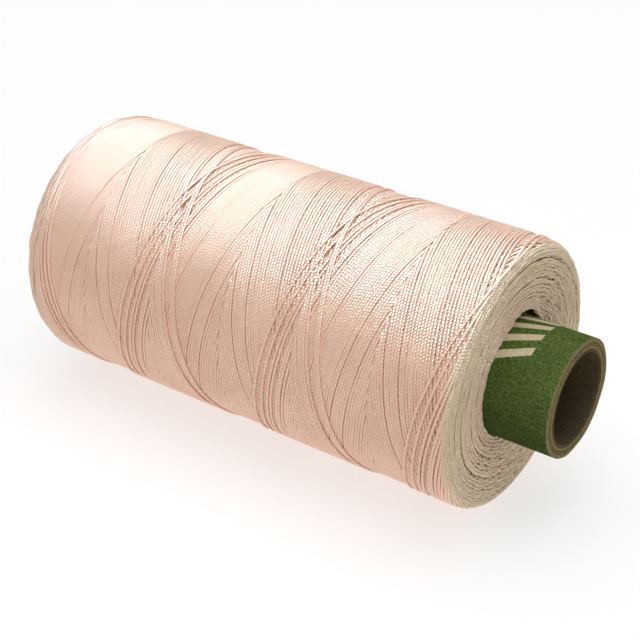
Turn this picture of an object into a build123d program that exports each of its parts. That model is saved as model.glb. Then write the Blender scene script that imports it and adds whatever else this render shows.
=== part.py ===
"""Thread spool lying on its side: a cross-wound package of waxed thread on a rolled paper tube.

Frame: +X along the tube towards the end that stands further out of the thread, +Z up.
The origin is on the tube's axis, half way along the wound thread. Units are millimetres.
"""
from build123d import *
import os

# ---- driving dimensions -------------------------------------------------------------------
PACKAGE_LENGTH = 96.4        # wound thread, end face to end face, at its outside
NEAR_RADIUS = 25.0           # outside of the wound thread at the +X end
FAR_RADIUS = 24.65           # the package is a little slimmer at the -X end
NEAR_SHOULDER = 2.2          # rounding where the winding turns over its +X end face
FAR_SHOULDER = 4.4           # the -X end is rounder
END_DISH = 0.9               # the end faces sink this much towards the tube

BORE_RADIUS = 8.6            # inside of the tube, which slides onto a spindle
COVER_RADIUS = 11.0          # outside of the tube, over its coloured paper
LINER_THICKNESS = 0.4        # smooth paper that lines the bore
COVER_THICKNESS = 0.2        # coloured paper rolled round the board
BOARD_PLIES = 3
NEAR_STAND_OUT = 11.7        # tube beyond the wound thread at +X
FAR_STAND_OUT = 4.0          # tube beyond the wound thread at -X
SEAM_GAP = 0.15              # butt seam of each rolled strip
SEAM_STEP = 137.0            # degrees from one strip's seam to the next one's
FIRST_SEAM = 200.0           # degrees, seam of the innermost strip
RIM_BREAK = 0.12             # worn edge round both ends of the coloured paper

FIRST_LAYER = 0.55           # one thread thick, laid straight on the tube
INNER_RADIUS = 15.5          # outside of the inner third of the winding
MIDDLE_RADIUS = 19.8         # outside of the middle third

# ---- worked out from them -----------------------------------------------------------------
half_length = PACKAGE_LENGTH / 2
tube_near_x = half_length + NEAR_STAND_OUT
tube_far_x = -half_length - FAR_STAND_OUT
tube_length = tube_near_x - tube_far_x
board_inner = BORE_RADIUS + LINER_THICKNESS
board_outer = COVER_RADIUS - COVER_THICKNESS
board_step = (board_outer - board_inner) / BOARD_PLIES
first_outer = COVER_RADIUS + FIRST_LAYER

os.makedirs("parts", exist_ok=True)


# ---- tube: strips of paper and board, each rolled once round the one inside it -------------
def rolled_strip(inner, outer, seam_angle):
    """A strip rolled into a ring as long as the tube, its two long edges meeting in a butt seam."""
    wall = outer - inner
    with BuildPart() as strip:
        with BuildSketch(Plane.YZ.offset(tube_far_x)):
            Circle(outer)
            Circle(inner, mode=Mode.SUBTRACT)
            with PolarLocations((inner + outer) / 2, 1, start_angle=seam_angle):
                Rectangle(2 * wall, SEAM_GAP, mode=Mode.SUBTRACT)
        extrude(amount=tube_length)
    return strip.part


# The liner closes on itself with a glued lap, so that the bore has a whole wall.
with BuildPart() as tube_liner_ply:
    with BuildSketch(Plane.YZ.offset(tube_far_x)):
        Circle(board_inner)
        Circle(BORE_RADIUS, mode=Mode.SUBTRACT)
    extrude(amount=tube_length)
tube_liner_ply.part.label = "tube_liner_ply"
export_step(tube_liner_ply.part, "parts/tube_liner_ply.step")

for number in range(1, BOARD_PLIES + 1):
    ply_inner = board_inner + (number - 1) * board_step
    board_ply = rolled_strip(ply_inner, ply_inner + board_step, FIRST_SEAM + number * SEAM_STEP)
    board_ply.label = f"tube_board_ply_{number}"
    export_step(board_ply, f"parts/tube_board_ply_{number}.step")

cover_seam = FIRST_SEAM + (BOARD_PLIES + 1) * SEAM_STEP
with BuildPart() as tube_cover_ply:
    add(rolled_strip(board_outer, COVER_RADIUS, cover_seam))
    end_edges = tube_cover_ply.edges().filter_by(GeomType.CIRCLE)
    outer_edges = end_edges.filter_by(lambda edge: edge.radius > (board_outer + COVER_RADIUS) / 2)
    chamfer(outer_edges, RIM_BREAK)
tube_cover_ply.part.label = "tube_cover_ply"
export_step(tube_cover_ply.part, "parts/tube_cover_ply.step")


# ---- thread: one continuous length, split where a part-used spool would end ----------------
def end_x(radius):
    """How far the end face lies from the middle at this radius: the face is dished."""
    depth = (NEAR_RADIUS - radius) / (NEAR_RADIUS - COVER_RADIUS)
    return half_length - END_DISH * depth


def wound_layer(inner, outer):
    """A ring of winding between two radii, with its two ends on the dished end faces."""
    with BuildPart() as layer:
        with BuildSketch(Plane.XY):
            with BuildLine():
                Polyline(
                    (-end_x(inner), inner),
                    (end_x(inner), inner),
                    (end_x(outer), outer),
                    (-end_x(outer), outer),
                    close=True,
                )
            make_face()
        revolve(axis=Axis.X)
    return layer.part


thread_layers = {
    "thread_first_layer": (COVER_RADIUS, first_outer),
    "thread_inner_winding": (first_outer, INNER_RADIUS),
    "thread_middle_winding": (INNER_RADIUS, MIDDLE_RADIUS),
}
for name, (layer_inner, layer_outer) in thread_layers.items():
    thread_layer = wound_layer(layer_inner, layer_outer)
    thread_layer.label = name
    export_step(thread_layer, f"parts/{name}.step")

# The outside layer carries the rounded shoulders and the package's slight taper.
with BuildPart() as thread_outer_winding:
    with BuildSketch(Plane.XY):
        with BuildLine():
            Polyline(
                (-end_x(MIDDLE_RADIUS), MIDDLE_RADIUS),
                (end_x(MIDDLE_RADIUS), MIDDLE_RADIUS),
                (end_x(NEAR_RADIUS), NEAR_RADIUS),
                (-end_x(FAR_RADIUS), FAR_RADIUS),
                close=True,
            )
        make_face()
    revolve(axis=Axis.X)
    rims = thread_outer_winding.edges().filter_by(GeomType.CIRCLE).group_by(Axis.X)
    fillet(rims[-1].sort_by(SortBy.RADIUS)[-1], NEAR_SHOULDER)
    rims = thread_outer_winding.edges().filter_by(GeomType.CIRCLE).group_by(Axis.X)
    fillet(rims[0].sort_by(SortBy.RADIUS)[-1], FAR_SHOULDER)
thread_outer_winding.part.label = "thread_outer_winding"
export_step(thread_outer_winding.part, "parts/thread_outer_winding.step")

print(f"tube from x = {tube_far_x:.2f} to {tube_near_x:.2f}, length {tube_length:.2f}")
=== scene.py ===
import math

import bpy
import numpy as np
from mathutils import Matrix, Vector


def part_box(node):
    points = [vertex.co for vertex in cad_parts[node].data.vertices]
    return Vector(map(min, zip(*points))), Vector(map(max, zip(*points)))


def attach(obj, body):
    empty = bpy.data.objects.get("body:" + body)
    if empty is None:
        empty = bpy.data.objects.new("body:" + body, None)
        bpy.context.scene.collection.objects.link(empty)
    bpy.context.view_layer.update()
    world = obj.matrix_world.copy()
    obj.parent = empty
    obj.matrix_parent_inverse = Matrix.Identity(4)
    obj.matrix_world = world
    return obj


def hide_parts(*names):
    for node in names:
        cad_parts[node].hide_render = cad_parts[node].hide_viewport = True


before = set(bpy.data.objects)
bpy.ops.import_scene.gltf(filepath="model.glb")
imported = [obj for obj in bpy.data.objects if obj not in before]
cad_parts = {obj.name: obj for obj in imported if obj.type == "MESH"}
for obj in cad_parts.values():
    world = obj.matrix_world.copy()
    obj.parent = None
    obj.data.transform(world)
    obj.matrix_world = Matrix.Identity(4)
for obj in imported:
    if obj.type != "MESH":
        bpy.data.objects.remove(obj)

# Lengths below are in millimetres and are turned into metres where a mesh is made.
# x runs along the tube; an angle is measured about +X from +Y towards +Z.
MM = 0.001
TURN = 2 * math.pi

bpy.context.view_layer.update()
rng = np.random.default_rng(7)


def extent(node):
    """A CAD node's lowest x, highest x and outside radius, in millimetres."""
    low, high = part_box(node)
    return low.x / MM, high.x / MM, high.z / MM


# ---- what the frame says ------------------------------------------------------------------
package_far, package_near, package_radius = extent("thread_outer_winding")
tube_far, tube_near, tube_radius = extent("tube_cover_ply")
middle_radius = extent("thread_middle_winding")[2]
inner_radius = extent("thread_inner_winding")[2]
first_radius = extent("thread_first_layer")[2]
bore_radius = 8.6            # the frame's boxes only give outside radii
board_plies = ("tube_liner_ply", "tube_board_ply_1", "tube_board_ply_2", "tube_board_ply_3")
board_radii = [extent(name)[2] for name in board_plies]

# ---- the winding ---------------------------------------------------------------------------
THREAD_RADIUS = 0.21
THREAD_HALF_WIDTH = 0.30     # a laid thread is pressed a little flat
LAYER = 0.33                 # how much one laid family of turns adds to the radius
LEAD = 31.9                  # axial travel in one turn
CROSS_X = 16.5               # where the last turn out and the last turn back cross
CROSS_ANGLE = math.radians(101)
STEP = 0.575                 # axial distance between neighbouring turns of one family
LAST_OUT = (0.0, 0.5, 2.4, 3.05, 3.6, 4.15, 4.8, 5.35)         # the last turns lie unevenly
LAST_BACK = (0.0, 1.6, 2.9, 3.6, 4.9, 5.4, 6.15, 6.8)
LOOSE_TURNS = {14: 0.12, 23: 0.08, 25: 0.14, 30: 0.16, 37: 0.06, 44: 0.1}   # extra space before these
UNDER_TURNS = 7              # older turns kept below the newest ones
NEAR_TURN = CROSS_X + LEAD   # where the two families meet at the +X end
FAR_TURN = CROSS_X - 1.915 * LEAD    # and at the -X end
NEAR_REACH = 0.5             # how far the newest turn runs on past that meeting at the +X end
NEAR_SPREAD = 1.2            # older turns reach this much further at the +X end
FAR_SPREAD = 2.6             # and this much further at the -X end
NEAR_BEND = 2.6              # how far from that meeting a turn starts to bend back
FAR_BEND = 4.6               # the same at the -X end
LAST_TURN_ENDS = -36.0       # the loose end dives under its neighbours here, on the hidden side
SAMPLES = 200                # points in one turn
SIDES = 8                    # corners of a strand's section
PER_TWIST = 1.8              # length of one twist of the thread's plies

NEAR_SHOULDER = 2.2          # radius of the rounded edge at the +X end
FAR_SHOULDER = 4.4           # and at the -X end
NEAR_BULGE = 0.14            # the +X face's edge stands this far past the CAD face
TAPER = 0.35                 # the -X end's radius is this much smaller
END_DISH = 0.9               # how far a face falls back from its edge to the tube
PROUD = 0.15                 # the newest turns' axes lie this far outside the mean surface
FACE_ROW = 0.58              # distance between rows of reversals on an end face
POCKET_DEPTH = 2.8           # how far the thread's body stands back beside the tube
POCKET_GAP = (0.9, 2.2)      # how wide the open pocket between thread and tube is at the +X end
POCKET_ROUND = (72, 50)      # that pocket's middle and reach round the tube, in degrees
FACE_TURNS = 54              # reversals in one row


def slope():
    """Radians of turn for each millimetre of travel."""
    return TURN / LEAD


def smooth(value):
    value = np.clip(value, 0.0, 1.0)
    return value * value * (3 - 2 * value)


def profile(along, inset):
    """The point (x, radius) on the package's outline moved inwards by inset.

    along is x on the straight part, and goes on as arc length round a shoulder and down the face.
    """
    along = np.asarray(along, float)
    inset = np.broadcast_to(np.asarray(inset, float), along.shape)
    near = along >= 0
    side = np.where(near, 1.0, -1.0)
    end = np.where(near, package_near + NEAR_BULGE, -package_far)
    shoulder = np.where(near, NEAR_SHOULDER, FAR_SHOULDER)
    outside = package_radius - np.where(near, 0.0, TAPER)
    centre = end - shoulder
    bend = np.maximum(shoulder - inset, 0.3)
    past = np.abs(along) - centre
    around = np.clip(past / bend, 0.0, math.pi / 2)
    down = np.maximum(past - bend * math.pi / 2, 0.0)
    straight = past <= 0
    slim = TAPER * np.clip(0.5 - along / (2 * package_near), 0.0, 1.0)
    x = np.where(straight, np.abs(along), centre + bend * np.sin(around))
    radius = np.where(straight, package_radius - slim - inset, outside - shoulder + bend * np.cos(around))
    dish = END_DISH / (package_radius - tube_radius)
    return side * (x - dish * down), radius - down


def depth_below(x):
    """How long before each turn out, as a share of a whole cycle, the family coming back passed here."""
    rings = 2 * (x - CROSS_X - 0.15) / LEAD
    nearest = np.round(rings)
    rise = smooth((rings - nearest + 0.02) / 0.04)
    return rings - nearest + 1 - rise


def age_steps():
    """Axial lag of each turn behind the newest one, for the turns out and the turns back."""
    out, back = list(LAST_OUT), list(LAST_BACK)
    while out[-1] < LEAD + UNDER_TURNS * STEP:
        number = len(out)
        gap = LOOSE_TURNS.get(number, 0.0)
        shift = rng.normal(0, 0.022)
        catch_up = (back[-1] - out[-1]) * 0.05
        out.append(out[-1] + STEP * 0.965 + gap + shift + catch_up)
        back.append(back[-1] + STEP * 0.965 + gap + shift - catch_up * 0.4 + rng.normal(0, 0.02))
    return np.array(out), np.array(back)


def waver(length, size, waves):
    """A smooth random wandering of the given size, over an array of distances."""
    total = np.zeros_like(length)
    for wave in waves:
        total += np.sin(length * TURN / (wave * rng.uniform(0.8, 1.25)) + rng.uniform(0, TURN))
    return total * size / math.sqrt(len(waves))


def turn_round(travel, far_turn, near_turn):
    """Rounds the reversals at both ends of the stroke."""
    to_near = near_turn - travel
    to_far = travel - far_turn
    near = near_turn - (NEAR_BEND / 2 + to_near ** 2 / (2 * NEAR_BEND))
    far = far_turn + (FAR_BEND / 2 + to_far ** 2 / (2 * FAR_BEND))
    return np.where(to_near < NEAR_BEND, near, np.where(to_far < FAR_BEND, far, travel))


def far_turn_of(lag):
    """Where a turn with this lag goes round at the -X end."""
    return FAR_TURN - FAR_SPREAD * (1 - math.exp(-lag / 12))


def near_turn_of(lag):
    """Where a turn with this lag goes round at the +X end."""
    return NEAR_TURN + NEAR_REACH + NEAR_SPREAD * (1 - math.exp(-lag / 12))


def wrapped(angle):
    return (angle + math.pi) % TURN - math.pi


def half_stroke(lag, far_turn, near_turn, outward, near_shift, far_shift):
    """The axis of one stroke from end to end: angle, inset and place along the outline."""
    count = int(SAMPLES * (near_turn - far_turn) / LEAD)
    travel = np.linspace(far_turn, near_turn, count)
    sign = 1.0 if outward else -1.0
    angle = CROSS_ANGLE + sign * slope() * (travel - CROSS_X) + lag * slope()
    angle += near_shift * smooth((travel - near_turn + 9) / 9)
    angle += far_shift * smooth((far_turn + 15 - travel) / 15)
    angle += slope() * waver(travel * 9.8, 0.02, (23, 41, 90))
    share = depth_below(travel)
    if not outward:
        share = 1 - share
    inset = LAYER * (2 * lag / LEAD + share) - PROUD
    inset += waver(travel * 9.8, 0.012, (11, 29))
    along = turn_round(travel, far_turn, near_turn)
    if not outward:
        angle, inset, along = angle[::-1], inset[::-1], along[::-1]
    return angle, inset, along


def winding_paths():
    """Every stroke in the order it was wound, each as one array of points and its outward directions."""
    out, back = age_steps()
    paths = []
    for number in range(len(out) - 1, -1, -1):
        near = near_turn_of(out[number])
        meet = wrapped(2 * slope() * (near - CROSS_X) + slope() * (out[number] - back[number])) / 2
        newer = out[number - 1] if number else out[0] - STEP
        older = back[number + 1] if number + 1 < len(back) else back[number] + STEP
        start, end = far_turn_of(older), far_turn_of(back[number])
        join_out = wrapped(2 * slope() * (start - CROSS_X) + slope() * (out[number] - older)) / 2
        join_back = wrapped(2 * slope() * (end - CROSS_X) + slope() * (newer - back[number])) / 2
        first = half_stroke(out[number], start, near, True, -meet, -join_out)
        second = half_stroke(back[number], end, near, False, meet, join_back)
        angle = np.concatenate([np.unwrap(first[0]), second[0][1:]])
        jump = round((angle[len(first[0]) - 1] - second[0][0]) / TURN) * TURN
        angle[len(first[0]):] += jump
        inset = np.concatenate([first[1], second[1][1:]])
        along = np.concatenate([first[2], second[2][1:]])
        if number == 0:
            kept = len(first[0]) + int(np.argmax(second[2] < LAST_TURN_ENDS))
            angle, inset, along = angle[:kept], inset[:kept], along[:kept]
            inset = inset + 0.8 * smooth((np.arange(kept) - kept + 30) / 30)
        x, radius = profile(along, inset)
        paths.append((x, angle, radius))
    return paths


def ragged(angle, size, waves):
    """A smooth random wandering round the tube that closes on itself."""
    total = np.zeros_like(angle)
    for wave in waves:
        total += rng.normal() * np.sin(wave * angle + rng.uniform(0, TURN))
    return total * size / math.sqrt(len(waves))


def bump_at(angle, centre, width):
    """1 at an angle and 0 further than width from it, in degrees."""
    away = np.abs(np.degrees(wrapped(angle - math.radians(centre))))
    return smooth(1 - away / width)


# ---- mesh making ---------------------------------------------------------------------------
def new_object(name, points, quads, uvs=None):
    mesh = bpy.data.meshes.new(name)
    mesh.vertices.add(len(points))
    mesh.vertices.foreach_set("co", (points * MM).astype(np.float32).ravel())
    mesh.loops.add(quads.size)
    mesh.loops.foreach_set("vertex_index", quads.astype(np.int32).ravel())
    mesh.polygons.add(len(quads))
    mesh.polygons.foreach_set("loop_start", np.arange(0, quads.size, 4, dtype=np.int32))
    mesh.polygons.foreach_set("use_smooth", np.ones(len(quads), bool))
    if uvs is not None:
        layer = mesh.uv_layers.new(name="strand")
        layer.data.foreach_set("uv", uvs.astype(np.float32).ravel())
    mesh.update(calc_edges=True)
    mesh.validate()
    made = bpy.data.objects.new(name, mesh)
    bpy.context.scene.collection.objects.link(made)
    return made


def strand(x, angle, radius, thickness, sides=SIDES):
    """Points, faces and map of a round strand along a path round the tube's axis."""
    path = np.stack([x, radius * np.cos(angle), radius * np.sin(angle)], 1)
    forward = np.gradient(path, axis=0)
    forward /= np.linalg.norm(forward, axis=1, keepdims=True)
    outward = np.stack([np.zeros_like(x), np.cos(angle), np.sin(angle)], 1)
    across = np.cross(forward, outward)
    across /= np.linalg.norm(across, axis=1, keepdims=True)
    outward = np.cross(across, forward)
    count = len(path)
    turn = np.arange(sides) * TURN / sides
    thickness = np.broadcast_to(thickness, (count,))[:, None, None]
    wide = thickness * THREAD_HALF_WIDTH / THREAD_RADIUS
    ring = path[:, None] + (
        thickness * np.cos(turn)[None, :, None] * outward[:, None]
        + wide * np.sin(turn)[None, :, None] * across[:, None]
    )
    start = (np.arange(count - 1) * sides)[:, None]
    side = np.arange(sides)[None]
    following = (side + 1) % sides
    quads = np.stack([start + side, start + following, start + sides + following, start + sides + side], -1)
    quads = quads.reshape(-1, 4)
    length = np.concatenate([[0], np.cumsum(np.linalg.norm(np.diff(path, axis=0), axis=1))]) / PER_TWIST
    low, high = np.broadcast_arrays(length[:-1, None], side / sides)
    top = np.broadcast_to(length[1:, None], low.shape)
    uvs = np.stack([
        np.stack([high, low], -1), np.stack([high + 1 / sides, low], -1),
        np.stack([high + 1 / sides, top], -1), np.stack([high, top], -1),
    ], 2).reshape(-1, 2)
    caps = np.array([[k + 3, k + 2, k + 1, 0] for k in range(0, sides - 2, 2)])
    caps = np.concatenate([caps, (count - 1) * sides + caps[:, ::-1]])
    quads = np.concatenate([quads, caps])
    uvs = np.concatenate([uvs, np.zeros((len(caps) * 4, 2))])
    return ring.reshape(-1, 3), quads, uvs


def joined(parts):
    """Joins several (points, faces, map) sets."""
    points, quads, uvs, base = [], [], [], 0
    for part_points, part_quads, part_uvs in parts:
        points.append(part_points)
        quads.append(part_quads + base)
        uvs.append(part_uvs)
        base += len(part_points)
    return np.concatenate(points), np.concatenate(quads), np.concatenate(uvs)


def revolved(x, radius, count=180):
    """Points, faces and map of a closed profile turned about the tube's axis."""
    angle = np.arange(count) * TURN / count
    points = np.stack([
        np.broadcast_to(x[None], (count, len(x))),
        radius[None] * np.cos(angle)[:, None],
        radius[None] * np.sin(angle)[:, None],
    ], -1).reshape(-1, 3)
    row = (np.arange(count) * len(x))[:, None]
    next_row = (np.roll(np.arange(count), -1) * len(x))[:, None]
    here = np.arange(len(x))[None]
    there = (here + 1) % len(x)
    quads = np.stack([row + here, row + there, next_row + there, next_row + here], -1).reshape(-1, 4)
    return points, quads, np.zeros((len(quads) * 4, 2))


# ---- materials -----------------------------------------------------------------------------
class Nodes:
    """A short way to write a node material."""

    def __init__(self, name):
        self.material = bpy.data.materials.new(name)
        self.material.use_nodes = True
        self.tree = self.material.node_tree
        self.shader = self.tree.nodes["Principled BSDF"]

    def add(self, kind, **values):
        node = self.tree.nodes.new(kind)
        for key, value in values.items():
            setattr(node, key, value)
        return node

    def link(self, source, target):
        self.tree.links.new(source, target)

    def math(self, operation, first, second=None):
        """One sum on sockets or plain numbers."""
        node = self.add("ShaderNodeMath", operation=operation)
        for socket, value in zip(node.inputs, (first, second)):
            if value is None:
                continue
            if isinstance(value, (int, float)):
                socket.default_value = value
            else:
                self.link(value, socket)
        return node.outputs[0]

    def noise(self, scale, detail=4.0, roughness=0.5):
        """Noise with the given number of waves in a metre of the object."""
        place = self.add("ShaderNodeTexCoord")
        texture = self.add("ShaderNodeTexNoise")
        texture.inputs["Scale"].default_value = scale
        texture.inputs["Detail"].default_value = detail
        texture.inputs["Roughness"].default_value = roughness
        self.link(place.outputs["Object"], texture.inputs["Vector"])
        return texture.outputs["Fac"]

    def place(self):
        """The object's own x, y and z, by name."""
        where = self.add("ShaderNodeTexCoord")
        split = self.add("ShaderNodeSeparateXYZ")
        self.link(where.outputs["Object"], split.inputs[0])
        return split.outputs

    def step(self, value, low, high):
        """0 below low, 1 above high, and smooth between them."""
        node = self.add("ShaderNodeMapRange", interpolation_type="SMOOTHSTEP")
        self.link(value, node.inputs["Value"])
        node.inputs["From Min"].default_value = low
        node.inputs["From Max"].default_value = high
        return node.outputs["Result"]

    def ramp(self, fac, stops):
        """A colour from (position, colour) stops."""
        node = self.add("ShaderNodeValToRGB")
        while len(node.color_ramp.elements) < len(stops):
            node.color_ramp.elements.new(0.5)
        for element, (place, colour) in zip(node.color_ramp.elements, stops):
            element.position = place
            element.color = (*colour, 1)
        self.link(fac, node.inputs["Fac"])
        return node.outputs["Color"]

    def mix(self, fac, first, second, blend="MIX"):
        """Mixes two colours, each a socket or a plain (red, green, blue)."""
        node = self.add("ShaderNodeMix", data_type="RGBA", blend_type=blend)
        sockets = [s for s in node.inputs if s.enabled]
        for socket, value in zip(sockets, (fac, first, second)):
            if isinstance(value, (int, float)):
                socket.default_value = value
            elif isinstance(value, tuple):
                socket.default_value = (*value, 1)
            else:
                self.link(value, socket)
        return [s for s in node.outputs if s.enabled][0]

    def bump(self, height, strength, distance):
        node = self.add("ShaderNodeBump")
        node.inputs["Strength"].default_value = strength
        node.inputs["Distance"].default_value = distance
        self.link(height, node.inputs["Height"])
        return node.outputs["Normal"]


PLIES = 3                         # plies twisted into the thread
FACE_STARTS = (0.0463, 0.0484)    # the thread's colour changes to its darker end-face copy, painted shade, between these distances from the middle


def thread_material():
    """Waxed thread: pinkish cream with the helix of its plies, and a darker, less pink copy on the end
    faces as painted shade.
    """
    m = Nodes("waxed_thread")
    uv = m.add("ShaderNodeUVMap", uv_map="strand")
    split = m.add("ShaderNodeSeparateXYZ")
    m.link(uv.outputs["UV"], split.inputs[0])
    phase = m.math("SUBTRACT", split.outputs["X"], split.outputs["Y"])
    phase = m.math("MULTIPLY", phase, PLIES * TURN)
    plies = m.math("SINE", phase)
    tone = m.noise(90.0, detail=5.0)
    side = m.ramp(tone, [(0.3, (0.775, 0.47, 0.34)), (0.7, (0.865, 0.55, 0.405))])
    # Painted shade: the end faces get a darker, less pink copy of the same thread colour.
    face = m.ramp(tone, [(0.3, (0.61, 0.465, 0.295)), (0.7, (0.70, 0.545, 0.355))])
    place = m.place()
    reach = m.math("ABSOLUTE", place["X"])
    ended = m.step(reach, *FACE_STARTS)
    colour = m.mix(ended, side, face)
    m.link(colour, m.shader.inputs["Base Color"])
    duller = m.math("MULTIPLY", ended, 0.22)
    m.link(m.math("ADD", duller, 0.42), m.shader.inputs["Roughness"])
    m.shader.inputs["IOR"].default_value = 1.8
    m.shader.inputs["Subsurface Weight"].default_value = 0.35
    m.shader.inputs["Subsurface Scale"].default_value = 0.0005
    m.shader.inputs["Subsurface Radius"].default_value = (1.0, 0.7, 0.5)
    m.link(m.bump(plies, 0.8, 0.00005), m.shader.inputs["Normal"])
    return m.material


BAND_X = (0.0460, 0.0532)         # the printed band's ends along the tube
BAND_ROUND = (0.031, 0.0485)      # and round the tube, measured along the slant
BAR_PITCH = 3.5                   # millimetres from one bar to the next
BAR_SLANT = 0.45
PAPER_END = (0.0599, 0.0603)      # the ink is rubbed off between these


def paper_material():
    """Green printed paper: mottled ink with painted shade underneath and a painted highlight on top, with
    flecks, cream bars and a worn edge.
    """
    m = Nodes("green_paper")
    place = m.place()
    mottle = m.noise(2600.0, detail=4.0, roughness=0.7)
    cloud = m.noise(160.0, detail=3.0)
    greens = [
        (0.29, (0.015, 0.026, 0.006)),
        (0.5, (0.056, 0.088, 0.020)),
        (0.73, (0.130, 0.170, 0.048)),
    ]
    base = m.ramp(mottle, greens)
    shade = m.ramp(cloud, [(0.3, (0.80, 0.82, 0.80)), (0.7, (1.0, 1.0, 1.0))])
    colour = m.mix(1.0, base, shade, "MULTIPLY")
    # Painted light: the paper is darkened underneath and lightened on top, standing in for the overhead
    # light's sheen and the shade below.
    upper = m.step(place["Z"], -0.008, 0.011)
    painted_light_and_shade = m.ramp(upper, [(0.0, (0.72, 0.70, 0.86)), (1.0, (1.60, 1.58, 1.55))])
    colour = m.mix(1.0, colour, painted_light_and_shade, "MULTIPLY")

    flecks = m.add("ShaderNodeTexVoronoi", feature="F1")
    flecks.inputs["Scale"].default_value = 330.0
    near_fleck = m.step(flecks.outputs["Distance"], 0.16, 0.06)
    chosen = m.add("ShaderNodeSeparateXYZ")
    m.link(flecks.outputs["Color"], chosen.inputs[0])
    few = m.math("GREATER_THAN", chosen.outputs["X"], 0.84)
    colour = m.mix(m.math("MULTIPLY", near_fleck, few), colour, (0.30, 0.30, 0.17))

    around = m.math("ARCTAN2", place["Z"], place["Y"])
    arc = m.math("MULTIPLY", around, tube_radius * MM)
    slanted = m.math("ADD", arc, m.math("MULTIPLY", place["X"], BAR_SLANT))
    wave = m.math("SINE", m.math("MULTIPLY", slanted, TURN / (BAR_PITCH * MM)))
    rough_edge = m.math("SUBTRACT", m.noise(1500.0, detail=6.0), 0.5)
    edge_noise = m.math("MULTIPLY", rough_edge, 0.6)
    bars = m.step(m.math("ADD", wave, edge_noise), 0.0, 0.2)
    for value, limits, soft in ((place["X"], BAND_X, 0.0001), (slanted, BAND_ROUND, 0.0002)):
        bars = m.math("MULTIPLY", bars, m.step(value, limits[0] - soft, limits[0] + soft))
        bars = m.math("MULTIPLY", bars, m.step(value, limits[1] + soft, limits[1] - soft))
    wear = m.noise(1300.0, detail=6.0, roughness=0.7)
    ink = m.ramp(wear, [(0.25, (0.50, 0.44, 0.27)), (0.6, (0.70, 0.62, 0.42))])
    colour = m.mix(bars, colour, ink)

    uneven = m.math("MULTIPLY", mottle, 0.0009)
    rubbed = m.step(m.math("ADD", place["X"], uneven), *PAPER_END)
    colour = m.mix(rubbed, colour, (0.24, 0.20, 0.095))
    m.link(colour, m.shader.inputs["Base Color"])
    m.shader.inputs["Roughness"].default_value = 0.6
    m.shader.inputs["Specular IOR Level"].default_value = 0.004
    grain = m.noise(1500.0, detail=6.0, roughness=0.7)
    m.link(m.bump(grain, 0.45, 0.00008), m.shader.inputs["Normal"])
    return m.material


def board_material(name, low, high):
    """Raw board, between two tones."""
    m = Nodes(name)
    fibre = m.noise(1400.0, detail=8.0, roughness=0.75)
    colour = m.ramp(fibre, [(0.3, low), (0.7, high)])
    m.link(colour, m.shader.inputs["Base Color"])
    m.shader.inputs["Roughness"].default_value = 0.9
    m.shader.inputs["Specular IOR Level"].default_value = 0.1
    m.link(m.bump(fibre, 0.6, 0.0001), m.shader.inputs["Normal"])
    return m.material


def core_material():
    """The thread's colour darkened as painted shade, for the body seen between the shown turns."""
    m = Nodes("thread_painted_shade")
    tone = m.noise(300.0)
    # Painted shade: a darker copy of the thread colour standing in for the shade in the gaps between turns.
    colour = m.ramp(tone, [(0.3, (0.42, 0.31, 0.19)), (0.7, (0.54, 0.41, 0.26))])
    m.link(colour, m.shader.inputs["Base Color"])
    m.shader.inputs["Roughness"].default_value = 0.8
    return m.material


thread_skin = thread_material()
thread_painted_shade = core_material()


# ---- wound thread --------------------------------------------------------------------------
WOUND_PIECES = 7


def make_winding():
    """The outer winding, turn by turn, in a few pieces from the oldest turns to the newest."""
    paths = winding_paths()
    groups = np.array_split(np.arange(len(paths)), WOUND_PIECES)
    for index, group in enumerate(groups):
        strands = [strand(*paths[i], THREAD_RADIUS) for i in group]
        piece = new_object(f"wound_thread_{index + 1}", *joined(strands))
        piece.data.materials.append(thread_skin)
        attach(piece, "root")
        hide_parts("thread_outer_winding")


def face_range(side, outer, inner):
    """Where one ring's share of an end face begins and ends along the outline."""
    shoulder = NEAR_SHOULDER if side > 0 else FAR_SHOULDER
    end = package_near + NEAR_BULGE if side > 0 else -package_far
    corner = end - shoulder + shoulder * math.pi / 2
    flat_top = package_radius - (0 if side > 0 else TAPER) - shoulder
    first = corner + flat_top - outer
    if outer >= package_radius:
        first = end - shoulder + shoulder * (0.5 if side > 0 else 0.0)
    return first, corner + flat_top - inner


def end_arcs(side, outer, inner):
    """The reversals that show on one end face: short turns that each dive under the next."""
    first, last = face_range(side, outer, inner)
    rows = max(int(round((last - first) / FACE_ROW)), 1)
    arcs = []
    share = np.linspace(-1, 1, 11)
    for row in range(rows):
        middle = first + (row + 0.5) * (last - first) / rows
        turned = rng.uniform(0, TURN)
        for number in range(FACE_TURNS):
            reach = math.radians(rng.uniform(8, 13))
            lean = rng.normal(0.07, 0.045)
            angle = turned + number * TURN / FACE_TURNS + share * reach + rng.normal(0, 0.02)
            along = middle + lean * share + FACE_ROW * number / FACE_TURNS + rng.normal(0, 0.035)
            lift = rng.normal(0, 0.05)
            inset = 0.24 - lift + 0.5 * share ** 2
            x, radius = profile(side * along, inset)
            gap = rng.uniform(0.2, 0.5)
            if side > 0:
                gap = gap + rng.uniform(*POCKET_GAP) * bump_at(angle, *POCKET_ROUND)
            radius = np.maximum(radius, tube_radius + gap)
            arcs.append(strand(x, angle, radius, THREAD_RADIUS * 1.02, 6))
    return arcs


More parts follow.
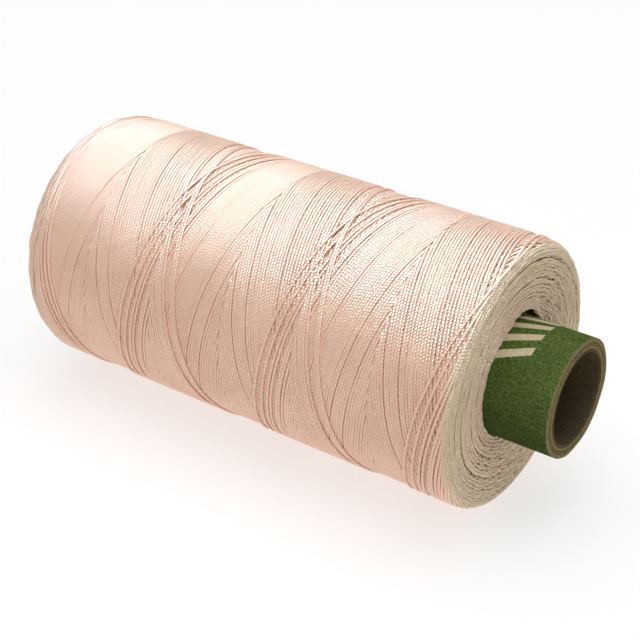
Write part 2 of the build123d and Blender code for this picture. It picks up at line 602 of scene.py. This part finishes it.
def core_ring(outer, inner, inset=0.95):
    """The closed body under the shown turns."""
    if outer >= package_radius:
        straight = np.linspace(-43, 44, 4)
        along = np.concatenate([np.linspace(-52, -44, 20), straight, np.linspace(45, 52, 20)])
        x, radius = profile(along, inset)
        keep = radius > inner
        x, radius = x[keep], radius[keep]
    else:
        x, radius = np.array([package_far + inset, package_near - inset]), np.array([outer, outer])
    x = np.concatenate([[package_far + inset], x, [package_near - inset]])
    if inner == tube_radius:
        x[-2:] -= POCKET_DEPTH
    if inner == first_radius:
        x[-1] -= POCKET_DEPTH
    radius = np.concatenate([[inner], radius, [inner]])
    return revolved(x[::-1], radius[::-1])


def make_ends():
    """Each thread ring's share of the two end faces: a closed body under short turns."""
    rings = {
        "thread_first_layer": (first_radius, tube_radius),
        "thread_inner_winding": (inner_radius, first_radius),
        "thread_middle_winding": (middle_radius, inner_radius),
        "thread_outer_winding": (package_radius, middle_radius),
    }
    for node, (outer, inner) in rings.items():
        body = new_object(node.replace("thread", "core"), *core_ring(outer, inner))
        body.data.materials.append(thread_painted_shade)
        arcs = end_arcs(1, outer, inner) + end_arcs(-1, outer, inner)
        turns = new_object(node.replace("thread", "end_turns"), *joined(arcs))
        turns.data.materials.append(thread_skin)
        for piece in (body, turns):
            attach(piece, "root")
            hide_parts(node)


# ---- tube ----------------------------------------------------------------------------------
SEAM_STEP = math.radians(137)     # each ply's seam lies this much further round
FIRST_SEAM = math.radians(200)
PLY_ANGLES = 420
RECESSED = (0.0, 0.06, 0.14, 0.05)    # how far each board ply's end has worn back
NICK = (165, 7)                   # a nick in the paper's end: middle and reach, in degrees
SCUFF = (79, 9)                   # and a shallower scuff


def ply_ring(inner, outer, seam, edge):
    """One paper ply as a closed ring with worn ends and its butt seam opened a little at the ends.

    edge(angle) gives how far the +X end stands proud, and how far its outer corner lifts.
    """
    angle = np.sort(np.concatenate([
        np.arange(PLY_ANGLES) * TURN / PLY_ANGLES,
        (seam + np.radians([-0.9, -0.5, -0.45, 0.45, 0.5, 0.9])) % TURN,
    ]))
    proud, lift = edge(angle)
    notch = (np.abs(np.degrees(wrapped(angle - seam))) < 0.48) * 1.0
    soft = (outer - inner) * 0.3
    rows = []
    for side, end in ((1, tube_near), (-1, tube_far)):
        tip = end + side * (proud if side > 0 else ragged(angle, 0.05, (2, 5, 9, 17))) - side * 0.5 * notch
        steps = [(-8, 0, 0), (-1.2, 0, 0.1), (-0.5, 0, 0.4), (-soft / 2, -soft * 0.2, 1), (0, -soft, 1)]
        raised = lift * (side > 0)
        outside = [(tip + side * back, outer + down + raised * share) for back, down, share in steps]
        inside = [(tip + side * back, inner - down) for back, down, share in reversed(steps)]
        rows.append(outside + inside if side > 0 else (inside[::-1] + outside[::-1])[::-1])
    loop = rows[0] + [(x, r) for x, r in rows[1][::-1]]
    x = np.stack([np.broadcast_to(px, angle.shape) for px, pr in loop], 1)
    radius = np.stack([np.broadcast_to(pr, angle.shape) for px, pr in loop], 1)
    return lathe(angle, x, radius)


def lathe(angle, x, radius):
    """A closed skin from rows of (x, radius) at each angle."""
    cosine, sine = np.cos(angle)[:, None], np.sin(angle)[:, None]
    points = np.stack([x, radius * cosine, radius * sine], -1).reshape(-1, 3)
    count, wide = x.shape
    row = (np.arange(count) * wide)[:, None]
    next_row = (np.roll(np.arange(count), -1) * wide)[:, None]
    here = np.arange(wide)[None]
    there = (here + 1) % wide
    quads = np.stack([row + here, next_row + here, next_row + there, row + there], -1).reshape(-1, 4)
    return points, quads, None


def make_tube():
    """The five plies, each with its own worn ends."""
    shades = {
        "tube_liner_ply": ((0.050, 0.034, 0.016), (0.120, 0.082, 0.042)),
        "tube_board_ply_1": ((0.130, 0.098, 0.038), (0.260, 0.205, 0.090)),
        "tube_board_ply_2": ((0.075, 0.058, 0.024), (0.180, 0.140, 0.062)),
        "tube_board_ply_3": ((0.120, 0.094, 0.038), (0.240, 0.195, 0.088)),
    }
    names = list(board_plies) + ["tube_cover_ply"]
    outers = board_radii + [tube_radius]
    inner = bore_radius
    for number, (node, outer) in enumerate(zip(names, outers)):
        angle_of_seam = FIRST_SEAM + SEAM_STEP * number
        if node == "tube_cover_ply":
            material = paper_material()

            def edge(angle):
                nick = bump_at(angle, *NICK)
                scuff = bump_at(angle, *SCUFF)
                proud = ragged(angle, 0.035, (3, 7, 13, 29, 47)) - 0.10 - 0.45 * nick - 0.12 * scuff
                return proud, 0.05 * nick + ragged(angle, 0.018, (5, 11, 23))
        else:
            material = board_material(node.replace("tube", "board"), *shades[node])

            def edge(angle, deep=RECESSED[number]):
                return ragged(angle, 0.03, (2, 5, 11, 23, 41)) - deep, 0 * angle
        piece = new_object(node + "_worn", *ply_ring(inner, outer, angle_of_seam, edge))
        piece.data.materials.append(material)
        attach(piece, "root")
        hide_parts(node)
        inner = outer


# ---- studio --------------------------------------------------------------------------------
BACKGROUND = 1.0                  # brightness of the plain white round the spool
OVERHEAD = 0.09                   # and of the world above it
FLOOR_GLOW = 0.58                 # the floor's own light, which keeps the shadow pale


def add_floor():
    """A white floor that turns into plain white background away from the spool."""
    height = -(package_radius + PROUD + THREAD_RADIUS)
    size = 3000.0
    corners = ((-size, -size), (size, -size), (size, size), (-size, size))
    points = np.array([(x, y, height) for x, y in corners])
    floor = new_object("floor", points, np.array([[0, 1, 2, 3]]))
    m = Nodes("pale_floor")
    place = m.place()
    squares = m.math("ADD", m.math("POWER", place["X"], 2.0), m.math("POWER", place["Y"], 2.0))
    away = m.step(m.math("SQRT", squares), 0.28, 0.60)
    tone = m.ramp(m.noise(3.0), [(0.0, (0.54, 0.54, 0.54)), (1.0, (0.56, 0.56, 0.56))])
    m.link(tone, m.shader.inputs["Base Color"])
    m.shader.inputs["Roughness"].default_value = 0.9
    m.shader.inputs["Specular IOR Level"].default_value = 0.0
    m.shader.inputs["Emission Color"].default_value = (1, 1, 1, 1)
    m.shader.inputs["Emission Strength"].default_value = FLOOR_GLOW
    glow = m.add("ShaderNodeEmission")
    glow.inputs["Strength"].default_value = BACKGROUND
    both = m.add("ShaderNodeMixShader")
    m.link(away, both.inputs[0])
    m.link(m.shader.outputs[0], both.inputs[1])
    m.link(glow.outputs[0], both.inputs[2])
    m.link(both.outputs[0], m.tree.nodes["Material Output"].inputs["Surface"])
    floor.data.materials.append(m.material)


def add_world():
    """White round the horizon and dim overhead, where the lamps do the work."""
    world = bpy.data.worlds.new("studio")
    world.use_nodes = True
    tree = world.node_tree
    where = tree.nodes.new("ShaderNodeTexCoord")
    split = tree.nodes.new("ShaderNodeSeparateXYZ")
    fade = tree.nodes.new("ShaderNodeMapRange")
    fade.interpolation_type = "SMOOTHSTEP"
    fade.inputs["From Min"].default_value = math.sin(math.radians(12))
    fade.inputs["From Max"].default_value = math.sin(math.radians(28))
    fade.inputs["To Min"].default_value = BACKGROUND
    fade.inputs["To Max"].default_value = OVERHEAD
    tree.nodes["Background"].inputs["Color"].default_value = (1, 1, 1, 1)
    tree.links.new(where.outputs["Generated"], split.inputs[0])
    tree.links.new(split.outputs["Z"], fade.inputs["Value"])
    tree.links.new(fade.outputs["Result"], tree.nodes["Background"].inputs["Strength"])
    bpy.context.scene.world = world


def add_light(name, place, size, power):
    """A round lamp that faces the spool's middle; place and size are in metres."""
    light = bpy.data.lights.new(name, "AREA")
    light.shape = "DISK"
    light.size = size
    light.energy = power
    made = bpy.data.objects.new(name, light)
    made.location = place
    made.rotation_euler = (-Vector(place)).to_track_quat("-Z", "Y").to_euler()
    bpy.context.scene.collection.objects.link(made)
    return made


def add_studio():
    """Soft light from above, weak fills, and two lamps that only show in the wax's sheen."""
    add_floor()
    add_light("key", (0, 0, 0.9), 1.6, 6.1)
    add_light("top", (0, 0, 0.8), 0.6, 1.0)
    add_light("low_fill", (0.1, -0.8, 0.12), 0.5, 0.35)
    add_light("side_fill", (0.75, -0.1, 0.25), 0.5, 0.5)
    for place, size, power in (((0, 0, 0.8), 0.65, 46.0), ((0, 0.25, 0.75), 0.6, 8.0)):
        shine = add_light("shine", place, size, power)
        shine.visible_diffuse = False
    add_world()
    bpy.context.scene.view_settings.view_transform = "Standard"


def add_camera():
    """The camera stands 35 degrees round from the spool's side and 31 degrees up."""
    around, up = math.radians(34.90), math.radians(31.39)
    distance, aside, lift = 309.7, 4.76, -4.28
    right = Vector((math.cos(around), math.sin(around), 0))
    above = Vector((-math.sin(around) * math.sin(up), math.cos(around) * math.sin(up), math.cos(up)))
    behind = Vector((math.sin(around) * math.cos(up), -math.cos(around) * math.cos(up), math.sin(up)))
    data = bpy.data.cameras.new("camera")
    data.lens = 91.72
    data.sensor_width = 36
    data.clip_start = 0.01
    camera = bpy.data.objects.new("camera", data)
    turn = Matrix((right, above, behind)).transposed().to_4x4()
    turn.translation = (right * aside + above * lift + behind * distance) * MM
    camera.matrix_world = turn
    bpy.context.scene.collection.objects.link(camera)
    bpy.context.scene.camera = camera


make_winding()
make_ends()
make_tube()
add_studio()
add_camera()
